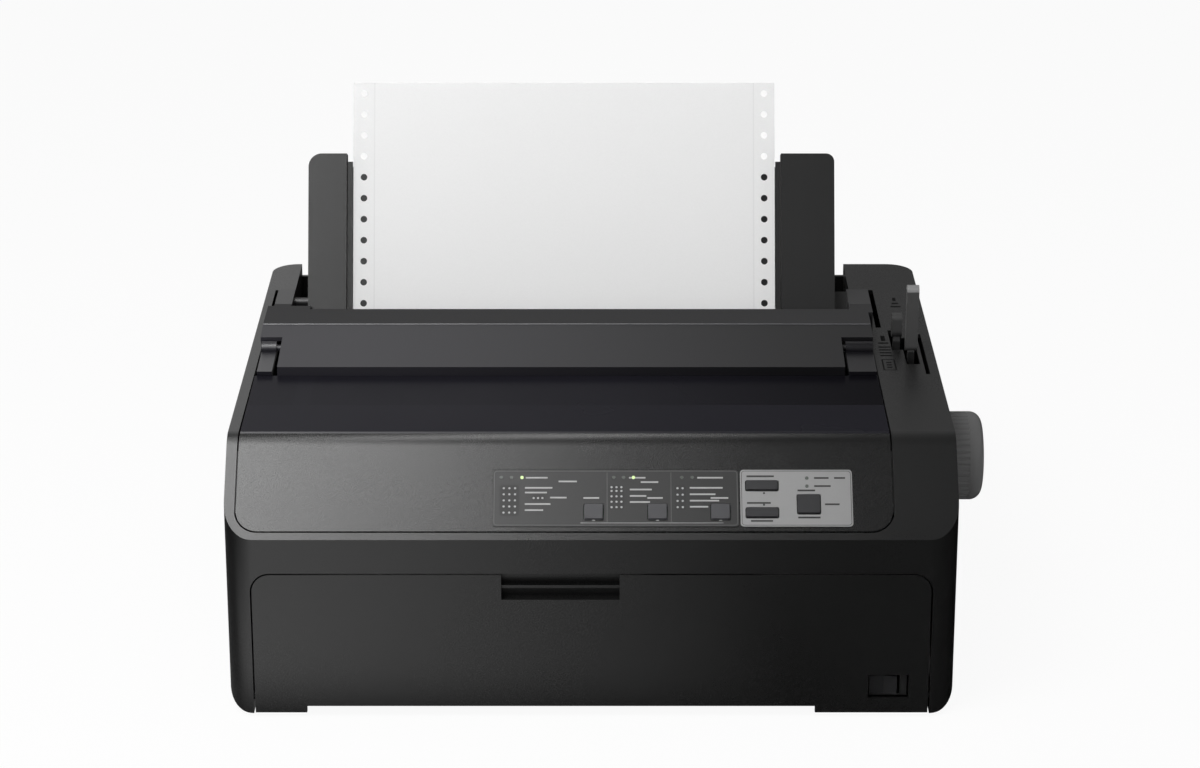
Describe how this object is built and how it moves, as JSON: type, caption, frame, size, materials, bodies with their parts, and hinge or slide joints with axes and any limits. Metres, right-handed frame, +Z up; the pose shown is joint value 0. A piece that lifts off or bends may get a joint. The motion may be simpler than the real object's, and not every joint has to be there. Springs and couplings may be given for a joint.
{
  "type": "dot matrix printer",
  "caption": "Desktop impact printer for fanfold paper, with hinged smoked window, drop-down front cover, sloping key panel, platen knob and rear paper guide.",
  "frame": {"origin": "bottom centre of the bounding box, on the table top", "axes": "+X to the operator's right (along the platen), +Y towards the back, +Z up"},
  "size_m": [0.43, 0.348, 0.2841],
  "materials": {
    "case_black": "fine-grained satin moulding",
    "cover_black": "fine-grained satin moulding",
    "panel_black": "fine-grained satin moulding",
    "label_dark": "screen-printed dark film",
    "label_silver": "screen-printed silver film",
    "lens_green": "moulded light lenses",
    "board_green": "solder mask over fibreglass",
    "key_black": "satin key cap",
    "window_smoke": "polished smoked plastic",
    "exit_black": "satin dark plastic",
    "guide_black": "fine-grained moulding",
    "paper_white": "uncoated paper",
    "frame_steel": "zinc-plated sheet",
    "shaft_steel": "ground rod",
    "lever_grey": "satin grey moulding",
    "knob_grey": "satin grey moulding",
    "platen_rubber": "ground rubber",
    "gear_white": "acetal",
    "pinion_brass": "machined brass",
    "motor_black": "painted motor can",
    "mechanism_black": "moulding",
    "belt_black": "moulded belt",
    "head_metal": "cast fins",
    "cartridge_black": "moulding",
    "supply_brown": "board with transformer",
    "socket_black": "moulding",
    "socket_metal": "plated shell",
    "rocker_black": "glossy rocker",
    "foot_rubber": "moulded rubber",
    "screw_steel": "plated screws"
  },
  "bodies": {
    "case": {"lower_case": "case_black", "upper_case": "case_black", "control_panel": "panel_black", "mode_label_plate": "label_dark", "key_label_plate": "label_silver", "indicator_lights": "lens_green", "panel_board": "board_green", "exit_cover": "exit_black", "fanfold_paper": "paper_white", "base_frame": "frame_steel", "left_side_frame": "frame_steel", "right_side_frame": "frame_steel", "lever_bracket": "frame_steel", "feed_motor": "motor_black", "tractor_guide_shaft": "shaft_steel", "left_tractor": "mechanism_black", "right_tractor": "mechanism_black", "pin_belts": "belt_black", "paper_chute": "mechanism_black", "carriage_shaft": "shaft_steel", "carriage_rail": "frame_steel", "carriage_motor": "motor_black", "carriage_belt": "belt_black", "main_board": "board_green", "power_supply": "supply_brown", "power_inlet": "socket_black", "interface_ports": "socket_metal", "power_switch": "socket_black", "rubber_feet": "foot_rubber", "case_screws": "screw_steel"},
    "front_cover": {"front_cover": "cover_black"},
    "window_cover": {"window_cover": "window_smoke"},
    "sheet_guide": {"sheet_guide": "guide_black"},
    "left_edge_guide": {"left_edge_guide": "guide_black"},
    "right_edge_guide": {"right_edge_guide": "guide_black"},
    "reduction_gear": {"reduction_gear": "gear_white"},
    "transfer_gear": {"transfer_gear": "gear_white"},
    "feed_pinion": {"feed_pinion": "pinion_brass"},
    "tractor_drive": {"tractor_drive": "gear_white"},
    "pinch_rollers": {"pinch_rollers": "platen_rubber"},
    "ribbon_knob": {"ribbon_knob": "lever_grey"},
    "motor_pulley": {"motor_pulley": "gear_white"},
    "idler_pulley": {"idler_pulley": "gear_white"},
    "release_lever": {"release_lever": "lever_grey"},
    "thickness_lever": {"thickness_lever": "lever_grey"},
    "load_eject_key": {"load_eject_key": "key_black"},
    "line_feed_key": {"line_feed_key": "key_black"},
    "pause_key": {"pause_key": "key_black"},
    "font_key": {"font_key": "key_black"},
    "pitch_key": {"pitch_key": "key_black"},
    "tear_off_key": {"tear_off_key": "key_black"},
    "power_rocker": {"power_rocker": "rocker_black"},
    "left_tractor_lid": {"left_tractor_lid": "mechanism_black"},
    "right_tractor_lid": {"right_tractor_lid": "mechanism_black"},
    "platen": {"platen_shaft": "shaft_steel", "platen_roller": "platen_rubber", "platen_knob": "knob_grey"},
    "carriage": {"carriage": "mechanism_black", "print_head": "head_metal", "ribbon_cartridge": "cartridge_black"}
  },
  "joints": [
    {"name": "front_cover_hinge", "type": "hinge", "parent": "case", "child": "front_cover", "pos_m": [-0.014, -0.169, 0.011], "axis": [1, 0, 0], "range_deg": [0, 85]},
    {"name": "window_hinge", "type": "hinge", "parent": "case", "child": "window_cover", "pos_m": [-0.0288, -0.0014, 0.1556], "axis": [-1, 0, 0], "range_deg": [0, 100]},
    {"name": "sheet_guide_hinge", "type": "hinge", "parent": "case", "child": "sheet_guide", "pos_m": [-0.026, 0.0762, 0.158], "axis": [-1, 0, 0], "range_deg": [0, 55]},
    {"name": "left_edge_guide_slide", "type": "slide", "parent": "sheet_guide", "child": "left_edge_guide", "axis": [-1, 0, 0], "range_m": [0, 0.008]},
    {"name": "right_edge_guide_slide", "type": "slide", "parent": "sheet_guide", "child": "right_edge_guide", "axis": [1, 0, 0], "range_m": [0, 0.008]},
    {"name": "platen_spin", "type": "hinge", "parent": "case", "child": "platen", "pos_m": [-0.014, -0.008, 0.091], "axis": [1, 0, 0], "continuous": true},
    {"name": "reduction_gear_spin", "type": "hinge", "parent": "case", "child": "reduction_gear", "pos_m": [-0.1754, 0.0237, 0.06345], "axis": [1, 0, 0], "continuous": true},
    {"name": "transfer_gear_spin", "type": "hinge", "parent": "case", "child": "transfer_gear", "pos_m": [-0.1754, 0.06967, 0.07322], "axis": [1, 0, 0], "continuous": true},
    {"name": "feed_pinion_spin", "type": "hinge", "parent": "case", "child": "feed_pinion", "pos_m": [-0.1754, 0.03909, 0.04374], "axis": [1, 0, 0], "continuous": true},
    {"name": "tractor_drive_spin", "type": "hinge", "parent": "case", "child": "tractor_drive", "pos_m": [-0.014, 0.11649, 0.06912], "axis": [1, 0, 0], "continuous": true},
    {"name": "pinch_roller_spin", "type": "hinge", "parent": "case", "child": "pinch_rollers", "pos_m": [-0.014, -0.00347, 0.06968], "axis": [1, 0, 0], "continuous": true},
    {"name": "carriage_slide", "type": "slide", "parent": "case", "child": "carriage", "axis": [1, 0, 0], "range_m": [-0.178, 0.024]},
    {"name": "motor_pulley_spin", "type": "hinge", "parent": "case", "child": "motor_pulley", "pos_m": [0.091, -0.082, 0.05], "axis": [0, 0, 1], "continuous": true},
    {"name": "idler_pulley_spin", "type": "hinge", "parent": "case", "child": "idler_pulley", "pos_m": [-0.156, -0.082, 0.05], "axis": [0, 0, 1], "continuous": true},
    {"name": "ribbon_knob_spin", "type": "hinge", "parent": "carriage", "child": "ribbon_knob", "pos_m": [0.028, -0.106, 0.1], "axis": [0, 0, 1], "continuous": true},
    {"name": "release_lever_pivot", "type": "hinge", "parent": "case", "child": "release_lever", "pos_m": [0.1732, 0.011, 0.05], "axis": [1, 0, 0], "range_deg": [-12, 7]},
    {"name": "thickness_lever_pivot", "type": "hinge", "parent": "case", "child": "thickness_lever", "pos_m": [0.1662, 0.011, 0.05], "axis": [1, 0, 0], "range_deg": [-8, 5]},
    {"name": "load_eject_key_press", "type": "slide", "parent": "case", "child": "load_eject_key", "axis": [0, 0.7136, -0.7006], "range_m": [0, 0.001], "stiffness_N_per_m": 500, "springref_m": -0.001},
    {"name": "line_feed_key_press", "type": "slide", "parent": "case", "child": "line_feed_key", "axis": [0, 0.7136, -0.7006], "range_m": [0, 0.001], "stiffness_N_per_m": 500, "springref_m": -0.001},
    {"name": "pause_key_press", "type": "slide", "parent": "case", "child": "pause_key", "axis": [0, 0.7136, -0.7006], "range_m": [0, 0.001], "stiffness_N_per_m": 500, "springref_m": -0.001},
    {"name": "font_key_press", "type": "slide", "parent": "case", "child": "font_key", "axis": [0, 0.7136, -0.7006], "range_m": [0, 0.001], "stiffness_N_per_m": 500, "springref_m": -0.001},
    {"name": "pitch_key_press", "type": "slide", "parent": "case", "child": "pitch_key", "axis": [0, 0.7136, -0.7006], "range_m": [0, 0.001], "stiffness_N_per_m": 500, "springref_m": -0.001},
    {"name": "tear_off_key_press", "type": "slide", "parent": "case", "child": "tear_off_key", "axis": [0, 0.7136, -0.7006], "range_m": [0, 0.001], "stiffness_N_per_m": 500, "springref_m": -0.001},
    {"name": "power_rocker_pivot", "type": "hinge", "parent": "case", "child": "power_rocker", "pos_m": [0.1482, -0.164, 0.018], "axis": [0, 0, 1], "range_deg": [0, 14]},
    {"name": "left_tractor_lid_hinge", "type": "hinge", "parent": "case", "child": "left_tractor_lid", "pos_m": [-0.16085, 0.096, 0.08472], "axis": [0, -1, 0], "range_deg": [0, 90]},
    {"name": "right_tractor_lid_hinge", "type": "hinge", "parent": "case", "child": "right_tractor_lid", "pos_m": [0.09885, 0.096, 0.08472], "axis": [0, 1, 0], "range_deg": [0, 90]}
  ],
  "couplings": [
    {"joint": "reduction_gear_spin", "follows": "platen_spin", "ratio": -1.3333},
    {"joint": "transfer_gear_spin", "follows": "platen_spin", "ratio": 0.82759},
    {"joint": "feed_pinion_spin", "follows": "platen_spin", "ratio": 3.4286},
    {"joint": "tractor_drive_spin", "follows": "platen_spin", "ratio": -1.3333},
    {"joint": "pinch_roller_spin", "follows": "platen_spin", "ratio": -4.375},
    {"joint": "motor_pulley_spin", "follows": "carriage_slide", "rad_per_m": 116.28},
    {"joint": "idler_pulley_spin", "follows": "carriage_slide", "rad_per_m": 116.28}
  ]
}
